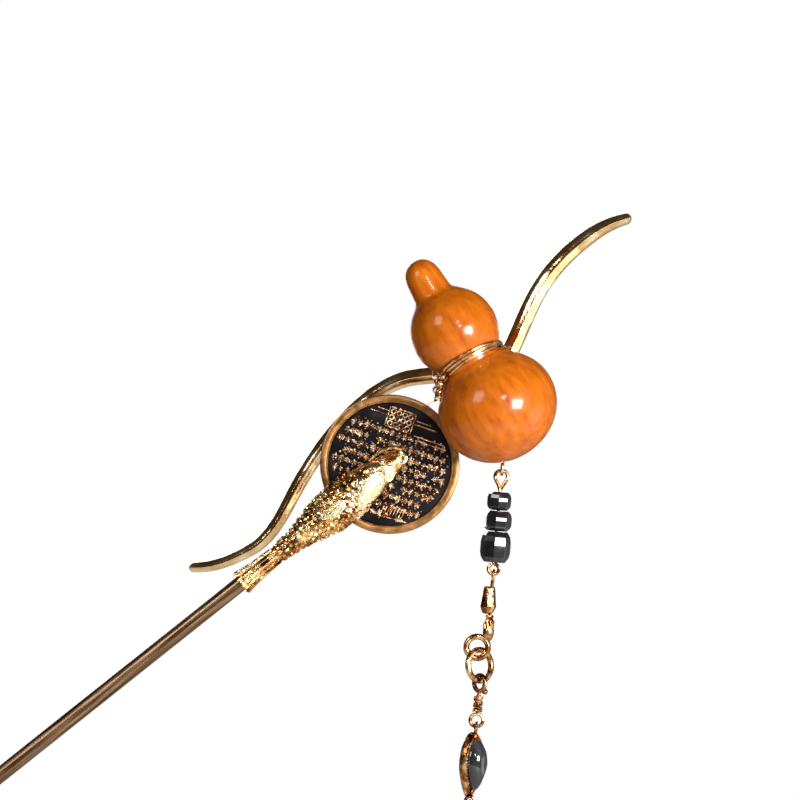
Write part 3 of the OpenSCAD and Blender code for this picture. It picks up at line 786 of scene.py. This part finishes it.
cuts = 110
levels = [stem_top + (bulb_h - stem_top) * (1 - cos(pi * k / cuts)) / 2 for k in range(1, cuts)]
gourd = turned("gourd", [(0, stem_top)] + [(gourd_radius(s), s) for s in levels] + [(0, bulb_h)], steps=112)
put(gourd, on_gourd)
seat = bar_piece("seat_cutter", 8, [(-1, -1), (-1, bar_t + 0.03), (1, bar_t + 0.03), (1, -1)], grow=0.04)
pick(gourd)
cut = gourd.modifiers.new("seat", "BOOLEAN")
cut.operation = "DIFFERENCE"
cut.object = seat
cut.solver = "EXACT"
bpy.ops.object.modifier_apply(modifier="seat")
bpy.data.objects.remove(seat)

wood, shader = finish("lacquered_amber_wood", coat=0.45)
shader.inputs["Coat Roughness"].default_value = 0.14
wood_turn = (0, -gourd_lean, 0)
fibre = pattern(wood, 800, wood_turn, (1, 1, 0.2), detail=9)
coloured(wood, shader, fibre, [
    (0.25, (0.26, 0.045, 0.001)), (0.42, (0.37, 0.080, 0.002)), (0.58, (0.43, 0.100, 0.003)),
    (0.75, (0.52, 0.130, 0.005))])
shader.inputs["Specular IOR Level"].default_value = 0.1
worn(wood, shader, fibre, 0.3, 0.45)
dented(wood, shader, pattern(wood, 1500, wood_turn, (1, 1, 0.06), detail=4), 0.00001)
done(gourd, "pin", "gourd_wood", wood, "gourd")

# ---------------------------------------------------------------- Binding wires
# Three turns of round gold wire are drawn tight round the gourd's waist. A finer wire is twisted at their
# left side, and its two ends pass round the bar.

bind_r = 0.25
pull_up = Matrix.Translation(gourd_at * MM) @ turn_by(gourd_lean, "Y") @ Matrix.Diagonal((-1, 1, 1, 1))
turns = []
for k in (-1, 0, 1):
    points = []
    for i in range(48):
        a = 2 * pi * i / 48
        s = waist_s + 0.9 + k * 0.55 - 1.6 * max(0, -sin(a)) + 0.07 * sin(3 * a + 2 * k)
        slope = (gourd_radius(s + 0.1) - gourd_radius(s - 0.1)) / 0.2
        r = gourd_radius(s) + (bind_r + 0.1) * sqrt(1 + slope * slope)
        points.append(pull_up @ Vector((r * cos(a) * MM, r * sin(a) * MM, s * MM)) / MM)
    turns.append(wire("waist_turn", points, bind_r, closed=True, sides=3))
binding = joined("waist_wire", turns)
drawn, shader = finish("drawn_gold_wire", metallic=1.0)
shade = pattern(drawn, 800, detail=4)
coloured(drawn, shader, shade, [(0.3, (0.62, 0.35, 0.14)), (0.5, (0.86, 0.57, 0.28)),
    (0.7, (1.0, 0.76, 0.45))])
worn(drawn, shader, shade, 0.13, 0.28)
dented(drawn, shader, pattern(drawn, 2600), 0.00003)
done(binding, "pin", "wire_gold", drawn, "waist_wire")

fine_r = 0.2
strands = []
for side in (0, 180):
    coil = []
    for i in range(46):
        a = radians(36 * i + side)
        coil.append((0.4 * cos(a), 0.4 * sin(a), -3.8 * i / 45))
    if side:
        coil += [(0.3 - 0.28 * i, -0.12 * i, -3.8 - 0.16 * i) for i in range(1, 7)]
    strands.append(wire("strand", coil, 0.24))
twist = put(joined("twist", strands), at(28.7, -7.2, 35.2) @ turn_by(3, "Y"))
round_bar = wire("round_bar", [
    (28.3, -6.9, 35), (27.9, -5.6, 35), (27.7, -4.6, 35), (27.3, -2.3, 34.9), (27.7, 0.6, 36.4),
    (28, 3.6, 38), (28.1, 5.4, 38.25),
    (28.1, 6.95, 37.95), (28.1, 7.05, 35.9), (28.1, 6.95, 33.8), (28.1, 5.4, 33.5), (28, 3.6, 33.6),
    (27.8, 0.6, 33.4),
    (27.6, -2.6, 32.9), (27.9, -5.6, 32.6), (28.2, -6.9, 32.5)], fine_r)
lashing = joined("wire_lashing", [twist, round_bar])
red_gold, shader = finish("red_gold_wire", metallic=1.0)
shade = pattern(red_gold, 1400, detail=4)
coloured(red_gold, shader, shade, [(0.3, (0.22, 0.07, 0.025)), (0.5, (0.50, 0.22, 0.09)),
    (0.7, (0.85, 0.52, 0.28))])
worn(red_gold, shader, shade, 0.16, 0.34)
done(lashing, "pin", "wire_gold", red_gold, "wire_lashing")

# Screw eye: a bent eye on a threaded shank, screwed into the gourd's underside
tassel_x = 39.8
eye_z, eye_r = 21.45, 1.0
wire_r = 0.3


def circle(centre, r, face, n=16, start=0, sweep=360):
    """Points of a ring in millimetres; face is the axis that its hole looks along."""
    points = []
    for k in range(n if sweep == 360 else n + 1):
        a = radians(start + sweep * k / n)
        if face == "Y":
            points.append((centre[0] + r * cos(a), centre[1], centre[2] + r * sin(a)))
        else:
            points.append((centre[0], centre[1] + r * cos(a), centre[2] + r * sin(a)))
    return points


def true_ring(name, centre, r, thick, face, matrix=None):
    """A ring of round wire, exactly round."""
    clear()
    bpy.ops.mesh.primitive_torus_add(major_segments=64, minor_segments=16, major_radius=r * MM,
        minor_radius=thick * MM)
    ring = bpy.context.object
    ring.name = name
    turn = Matrix.Rotation(radians(90), 4, "X" if face == "Y" else "Y")
    return put(ring, matrix if matrix else Matrix.Translation(Vector(centre) * MM) @ turn)


eye = true_ring("eye", (tassel_x, 0, eye_z), eye_r, wire_r, "X")
shank = turned("shank", [(0, 0), (0.42, 0), (0.45, 0.2), (0.36, 0.35), (0.45, 0.6), (0.36, 0.8),
    (0.45, 1.05), (0.45, 4.7), (0.2, 4.9), (0, 4.9)])
put(shank, at(tassel_x, 0, eye_z + eye_r - 0.1))
screw_eye = joined("gourd_eye", [eye, shank])
done(screw_eye, "pin", "wire_gold", drawn, "gourd_eye")

# ---------------------------------------------------------------- Bead link
# Three black glass beads, each cut with flat facets, hang on a gold wire with a teardrop eye at the top
# and a small round eye at the bottom. The beads turn freely on the wire.

link_gap = 0.05
top_loop_r = 1.05
top_loop_z = eye_z - eye_r + 2 * wire_r + link_gap - top_loop_r
low_loop_r = 0.85
low_loop_z = 5.1
stem_top_z = top_loop_z - top_loop_r
drop = circle((tassel_x, 0, top_loop_z), top_loop_r, "Y", n=12, start=-30, sweep=240)
teardrop = [(tassel_x + 0.12, 0.1, stem_top_z - 0.9), (tassel_x + 0.55, 0.05, stem_top_z - 0.1)] + drop \
    + [(tassel_x - 0.5, 0, stem_top_z - 0.1), (tassel_x - 0.05, 0, stem_top_z - 1.0),
        (tassel_x, 0, stem_top_z - 1.7)]
low = circle((tassel_x, 0, low_loop_z), low_loop_r, "Y", n=14, start=100, sweep=-340)
run = teardrop + [(tassel_x, 0, 12.0), (tassel_x, 0, 8.0), (tassel_x, 0, 6.6)] + low
bead_wire = wire("bead_pin", run, wire_r, sides=3)
chain, shader = finish("tassel_gold", metallic=1.0)
tarnish = pattern(chain, 700, detail=6)
coloured(chain, shader, tarnish, [(0.36, (0.15, 0.040, 0.012)), (0.49, (0.38, 0.155, 0.05)),
    (0.62, (0.86, 0.55, 0.27))])
worn(chain, shader, tarnish, 0.1, 0.26)
dented(chain, shader, pattern(chain, 1500, detail=3), 0.00006)
done(bead_wire, "bead_link", "link_gold", chain, "bead_pin")

glass, shader = finish("black_cut_glass", coat=0.5)
depth = pattern(glass, 380)
coloured(glass, shader, depth, [(0.3, (0.003, 0.003, 0.004)), (0.6, (0.010, 0.010, 0.013)),
    (0.8, (0.03, 0.032, 0.038))])
worn(glass, shader, depth, 0.04, 0.1)


def cut_bead(name, x, y, low_z, high, wide, bore=0.36, flats=8, turn=0.0):
    """A bead with three rows of flat facets, drilled through. Sizes in millimetres."""
    r = wide / 2
    rows = [(bore, 0.12), (0.7 * r, 0.0), (0.93 * r, 0.16 * high), (r, 0.32 * high), (r, 0.66 * high),
            (0.92 * r, 0.85 * high), (0.7 * r, high), (bore, high - 0.12)]
    bead = turned(name, rows + [rows[0]], steps=flats)
    edit_all()
    bpy.ops.mesh.bevel(offset=0.035 * MM, segments=1, affect="EDGES")
    bpy.ops.object.mode_set(mode="OBJECT")
    put(bead, at(x, y, low_z) @ turn_by(turn, "Z"))
    return bead


beads = [("bead_upper", 14.6, 3.0, 3.9, "bead_1", -3), ("bead_middle", 11.25, 3.3, 4.6, "bead_2", -8),
    ("bead_lower", 6.2, 5.0, 4.9, "bead_3", -5)]
for name, z, high, wide, body_name, turn in beads:
    done(cut_bead(name, tassel_x, 0, z, high, wide, turn=turn), body_name, "black_bead", glass, name,
        angle=8)

# ---------------------------------------------------------------- Barrel and clasp ring
# A gold tube folded to flat sides is crimped on a wire with an eye at its top. The eye closes at its top,
# so the stem runs down across its hole. Below, a fluted neck carries the heavy ring of the clasp.

barrel_loop_r = 0.8
barrel_loop_z = low_loop_z - low_loop_r + 2 * wire_r + link_gap - barrel_loop_r
barrel_top, barrel_bottom = 2.3, -2.2
barrel_off = 0.45
loop = circle((tassel_x, 0, barrel_loop_z), barrel_loop_r, "X", n=14, start=-250, sweep=340)
barrel_run = loop + [(tassel_x, 0, barrel_loop_z - barrel_loop_r - 0.5), (tassel_x, 0, 0),
    (tassel_x, 0, barrel_bottom - 1.2)]
done(wire("barrel_wire", barrel_run, wire_r, sides=3), "barrel_link", "link_gold", chain, "barrel_wire")
barrel = turned("barrel_tube", [
    (0.32, 0.1), (0.62, 0.0), (0.98, 0.25), (1.36, 1.05), (1.4, 1.25), (1.22, 2.6), (1.04, 4.1),
    (0.95, 4.4), (0.72, 4.5), (0.32, 4.4), (0.32, 0.1)], steps=7)
put(barrel, at(tassel_x - barrel_off, 0, barrel_bottom) @ turn_by(6, "Z"))
edit_all()
bpy.ops.mesh.bevel(offset=0.09 * MM, segments=2, affect="EDGES")
bpy.ops.object.mode_set(mode="OBJECT")
done(barrel, "barrel_link", "link_gold", chain, "barrel_tube", angle=20)

clasp_x, clasp_z, clasp_r, ring_r = 38.2, -7.7, 1.75, 0.5
neck_bottom = -6.6
ring_a = true_ring("clasp", (clasp_x, 0, clasp_z), clasp_r, ring_r, "Y")
neck = turned("neck", [
    (0.36, 4.3), (0.6, 4.3), (0.68, 4.0), (0.52, 3.75), (0.7, 3.5), (0.62, 3.2), (0.8, 2.9), (0.74, 2.3),
    (0.9, 1.9), (0.92, 1.3), (0.8, 0.7),
    (0.55, 0.2), (0.3, 0.0), (0, 0), (0, 1.5), (0.36, 1.6), (0.36, 4.3)], steps=40)
put(neck, at(tassel_x, 0, neck_bottom))
flutes = []
for k in range(9):
    a = 2 * pi * k / 9
    flutes.append(wire("flute", [(tassel_x + 0.74 * cos(a), 0.74 * sin(a), -3.2),
        (tassel_x + 0.84 * cos(a + 0.25), 0.84 * sin(a + 0.25), -4.1),
                                 (tassel_x + 0.7 * cos(a + 0.5), 0.7 * sin(a + 0.5), -5.6)], 0.16,
                                 radii=[0.7, 1, 0.7]))
clasp = joined("clasp_ring", [ring_a, neck] + flutes)
done(clasp, "barrel_link", "link_gold", chain, "clasp_ring")

# ---------------------------------------------------------------- Swivel ring
# A second heavy ring that passes through the clasp's ring on a slant, and is free to roll in it.

swivel_r, swivel_slant, swivel_drop = 2.5, radians(42), 0.42
swivel_dir = Vector((0.22, 0, -0.9755))
swivel_side = Vector((0.9755, 0, 0.22))
swivel_across = cos(swivel_slant) * swivel_side + Vector((0, sin(swivel_slant), 0))
swivel_c = Vector((clasp_x, 0, clasp_z)) + (swivel_drop + swivel_r) * swivel_dir
normal = swivel_dir.cross(swivel_across).normalized()
facing = Matrix.Translation(swivel_c * MM) @ normal.to_track_quat("Z", "X").to_matrix().to_4x4()
swivel = true_ring("swivel_ring", None, swivel_r, ring_r, "Z", matrix=facing)
done(swivel, "swivel_link", "link_gold", chain, "swivel_ring")

# ---------------------------------------------------------------- Hook
# A hook of stout wire hangs on the ring. Its stem is wrapped with fine wire and ends in an eye, and its
# tip carries a small ball.

hook_wr, hook_r = 0.38, 1.3
low_a = pi + atan2(swivel_across.z, -swivel_dir.z)
hang = swivel_c + swivel_r * (-cos(low_a) * swivel_dir + sin(low_a) * swivel_across)
tangent = sin(low_a) * swivel_dir + cos(low_a) * swivel_across
heading = atan2(-tangent.y, -tangent.x)
hook_z = hang.z + ring_r + hook_wr + link_gap - hook_r
on_hook = at(hang.x, hang.y, 0)
hook_frame = at(hang.x, hang.y, hook_z) @ Matrix.Rotation(heading, 4, "Z")
eye2_r, eye2_z = 1.05, -19.4
hook = [put(wire("hook_bend", circle((0, 0, 0), hook_r, "X", n=18, start=-78, sweep=338), hook_wr,
    sides=4), hook_frame)]
hook.append(put(wire("stem", [(0, 0, hook_z - hook_r + 0.1), (0, 0, hook_z - hook_r - 0.6),
    (0, 0, eye2_z + eye2_r - 0.05)], wire_r, sides=3), on_hook))
hook.append(put(wire("lower_eye", circle((0, 0, eye2_z), eye2_r, "Y", n=18, start=98, sweep=-350), wire_r,
    sides=3), on_hook))
hook_piece = joined("hook_wire", hook)
done(hook_piece, "hook_link", "link_gold", chain, "hook_wire")

wrap = []
for i in range(61):
    a = 2 * pi * i / 12
    wrap.append((0.62 * cos(a), 0.62 * sin(a), -15.4 - 0.5 * i / 12))
cross = []
for i in range(31):
    a = -2 * pi * i / 12
    cross.append((0.7 * cos(a), 0.7 * sin(a), -15.5 - 1.0 * i / 12))
wraps = joined("hook_wrap", [wire("wrap", wrap, 0.2), wire("cross_wrap", cross, 0.15)])
put(wraps, on_hook)
done(wraps, "hook_link", "link_gold", chain, "hook_wrap")
ball = turned("hook_ball", [(0, -0.5), (0.2, -0.46), (0.36, -0.35), (0.46, -0.2), (0.5, 0.0), (0.46, 0.2),
    (0.36, 0.35), (0.26, 0.44), (0.2, 0.5), (0, 0.5)], steps=28)
put(ball, on_hook @ at(hook_wr + 0.55, -0.3, hook_z - hook_r) @ turn_by(-60, "Y"))
done(ball, "hook_link", "link_gold", chain, "hook_ball")

# ---------------------------------------------------------------- Leaf drop
# A leaf-shaped black stone with a domed front, held in a gold bezel with a closed back and a beaded
# collar, between two wire loops.

leaf_h, leaf_w, leaf_turn = 10.4, 5.4, 58
leaf_loop_r = 0.75
leaf_loop_z = eye2_z - eye2_r + 2 * wire_r + link_gap - leaf_loop_r
leaf_top = leaf_loop_z - leaf_loop_r - 0.1
leaf_mid = leaf_top - leaf_h / 2
leaf_set_back = 0.4
leaf_end_r = 0.7
leaf_end_z = leaf_top - leaf_h - leaf_end_r + 0.1
bezel_t, bezel_wall, back_t, dome_h = 1.4, 0.55, 0.4, 2.0
on_leaf = (at(hang.x, hang.y, leaf_mid) @ turn_by(leaf_turn, "Z")
           @ Matrix.Translation((0, leaf_set_back * MM, 0)))


def leaf_half(f):
    return 0.5 * sin(pi * f ** 0.8) ** 0.85 if 0 < f < 1 else 0


def leaf_ring(w, h, n=26):
    """The leaf's outline as points (x, z), from its top round by the right."""
    right = [(w * leaf_half(i / n), h / 2 - h * i / n) for i in range(1, n)]
    return [(0, h / 2)] + right + [(0, -h / 2)] + [(-x, z) for x, z in reversed(right)]


def leaf_layers(name, layers):
    """A closed solid drawn through leaf outlines. A layer is (width, height, y)."""
    size = len(leaf_ring(1, 1))
    clear()
    bpy.ops.mesh.primitive_circle_add(vertices=size, radius=MM, fill_type="NGON")
    piece = bpy.context.object
    piece.name = name
    edit_all()
    for _ in layers[1:]:
        bpy.ops.mesh.extrude_region_move(TRANSFORM_OT_translate={"value": (0, 0, MM)})
    bpy.ops.object.mode_set(mode="OBJECT")
    for k, (w, h, y) in enumerate(layers):
        for j, (x, z) in enumerate(leaf_ring(w, h)):
            piece.data.vertices[k * size + j].co = Vector((x, y, z)) * MM
    edit_all()
    bpy.ops.mesh.remove_doubles(threshold=1e-7)
    bpy.ops.mesh.normals_make_consistent(inside=False)
    bpy.ops.object.mode_set(mode="OBJECT")
    return piece


back_y = bezel_t / 2
w_in, h_in = leaf_w - 2 * bezel_wall, leaf_h - 3.4 * bezel_wall
outer = leaf_layers("bezel", [
    (leaf_w - 0.3, leaf_h - 0.3, back_y), (leaf_w, leaf_h, back_y - 0.15), (leaf_w, leaf_h, 0.2 - back_y),
    (leaf_w - 0.2, leaf_h - 0.25, -back_y)])
hollow = leaf_layers("hollow", [(w_in, h_in, 2), (w_in, h_in, -2)])
pick(outer)
cut = outer.modifiers.new("hollow", "BOOLEAN")
cut.operation = "DIFFERENCE"
cut.object = hollow
cut.solver = "EXACT"
bpy.ops.object.modifier_apply(modifier="hollow")
bpy.data.objects.remove(hollow)
bezel = [outer]
ring = leaf_ring(leaf_w - 0.35, leaf_h - 0.5, n=40)
for k in range(0, 80, 2):
    x, z = ring[k]
    grain_bead = pebble("grain", (0.17, 0.17, 0.17), rings=4, segments=6)
    bezel.append(put(grain_bead, at(x, -back_y, z)))
for k in (-1, 0, 1):
    collar_z = leaf_h / 2 - 0.75 + 0.42 * k
    collar = circle((0, 0, collar_z), 0.62 - 0.1 * k, "Y", n=12)
    bezel.append(wire("collar", [(x, z - collar_z, collar_z) for x, _, z in collar], 0.2, closed=True))
for side in (-1, 1):
    bezel.append(wire("prong", [(0, -back_y + 0.2, side * (leaf_h / 2 - 0.5)),
        (0, -back_y - 0.35, side * (leaf_h / 2 - 0.95)),
                                (0, -back_y - 0.45, side * (leaf_h / 2 - 1.6))], 0.28, radii=[1.1, 1, 0.6]))
bezel_piece = joined("leaf_bezel", bezel)
put(bezel_piece, on_leaf)
done(bezel_piece, "leaf_drop", "link_gold", chain, "leaf_bezel")
back = leaf_layers("leaf_back", [(w_in - 0.05, h_in - 0.05, back_y),
    (w_in - 0.05, h_in - 0.05, back_y - back_t)])
put(back, on_leaf)
done(back, "leaf_drop", "link_gold", chain, "leaf_back")

stone_base = back_y - back_t - 0.02
body_h = bezel_t - back_t - 0.02 + dome_h
stone = leaf_layers("leaf_stone", [
    (w_in - 0.05, h_in - 0.05, stone_base), (w_in - 0.05, h_in - 0.05, stone_base - 1.0),
    (0.98 * w_in, 0.97 * h_in, stone_base - 1.35),
    (0.88 * w_in, 0.88 * h_in, stone_base - 1.9), (0.72 * w_in, 0.72 * h_in, stone_base - 2.4),
    (0.5 * w_in, 0.5 * h_in, stone_base - 2.75),
    (0.25 * w_in, 0.25 * h_in, stone_base - body_h + 0.04),
    (0.05 * w_in, 0.05 * h_in, stone_base - body_h)])
put(stone, on_leaf)
onyx, shader = finish("black_polished_stone", coat=0.8)
vein = pattern(onyx, 300, detail=7)
coloured(onyx, shader, vein, [(0.3, (0.004, 0.004, 0.005)), (0.6, (0.02, 0.022, 0.026)),
    (0.8, (0.07, 0.075, 0.085))])
worn(onyx, shader, vein, 0.06, 0.2)
dented(onyx, shader, pattern(onyx, 250, detail=1), 0.0002)
done(stone, "leaf_drop", "black_stone", onyx, "leaf_stone", angle=60)

upper_loop = wire("upper_loop", circle((0, 0, leaf_loop_z), leaf_loop_r, "X", n=16, start=-82, sweep=350),
    wire_r, sides=3)
lower_loop = wire("lower_loop", circle((0, 0, leaf_end_z), leaf_end_r, "Y", n=16, start=98, sweep=350),
    wire_r, sides=3)
loops = joined("leaf_loops", [upper_loop, lower_loop])
put(loops, on_hook)
done(loops, "leaf_drop", "link_gold", chain, "leaf_loops")

# ---------------------------------------------------------------- End pin and bead
# The last link: a head pin with a loop at its top, and one long cut bead that turns on it. The loop closes
# at its top, so the stem runs down across its hole.

end_loop_r = 0.7
end_loop_z = leaf_end_z - leaf_end_r + 2 * wire_r + link_gap - end_loop_r
end_bead_h, end_bead_d = 4.2, 3.2
end_bead_z = end_loop_z - end_loop_r - wire_r - 0.5 - end_bead_h
head_r = 0.6
pin_bottom = end_bead_z - head_r - 0.05
pin_loop = circle((0, 0, end_loop_z), end_loop_r, "X", n=14, start=-250, sweep=340)
pin_wire = wire("pin_wire", pin_loop + [(0, 0, end_loop_z - end_loop_r - 0.6), (0, 0, end_bead_z + 1),
    (0, 0, pin_bottom)], wire_r, sides=3)
pin_head = turned("pin_head", [(0, -0.6), (0.25, -0.55), (0.45, -0.4), (0.57, -0.2), (0.6, 0.0),
    (0.56, 0.22), (0.4, 0.44), (0.3, 0.5), (0, 0.52)], steps=28)
put(pin_head, Matrix.Translation((0, 0, pin_bottom * MM)))
end_pin = joined("end_pin", [pin_wire, pin_head])
put(end_pin, on_hook)
done(end_pin, "end_drop", "link_gold", chain, "end_pin")
done(cut_bead("end_bead", hang.x, hang.y, end_bead_z, end_bead_h, end_bead_d), "bead_4", "black_bead",
    glass, "end_bead", angle=8)
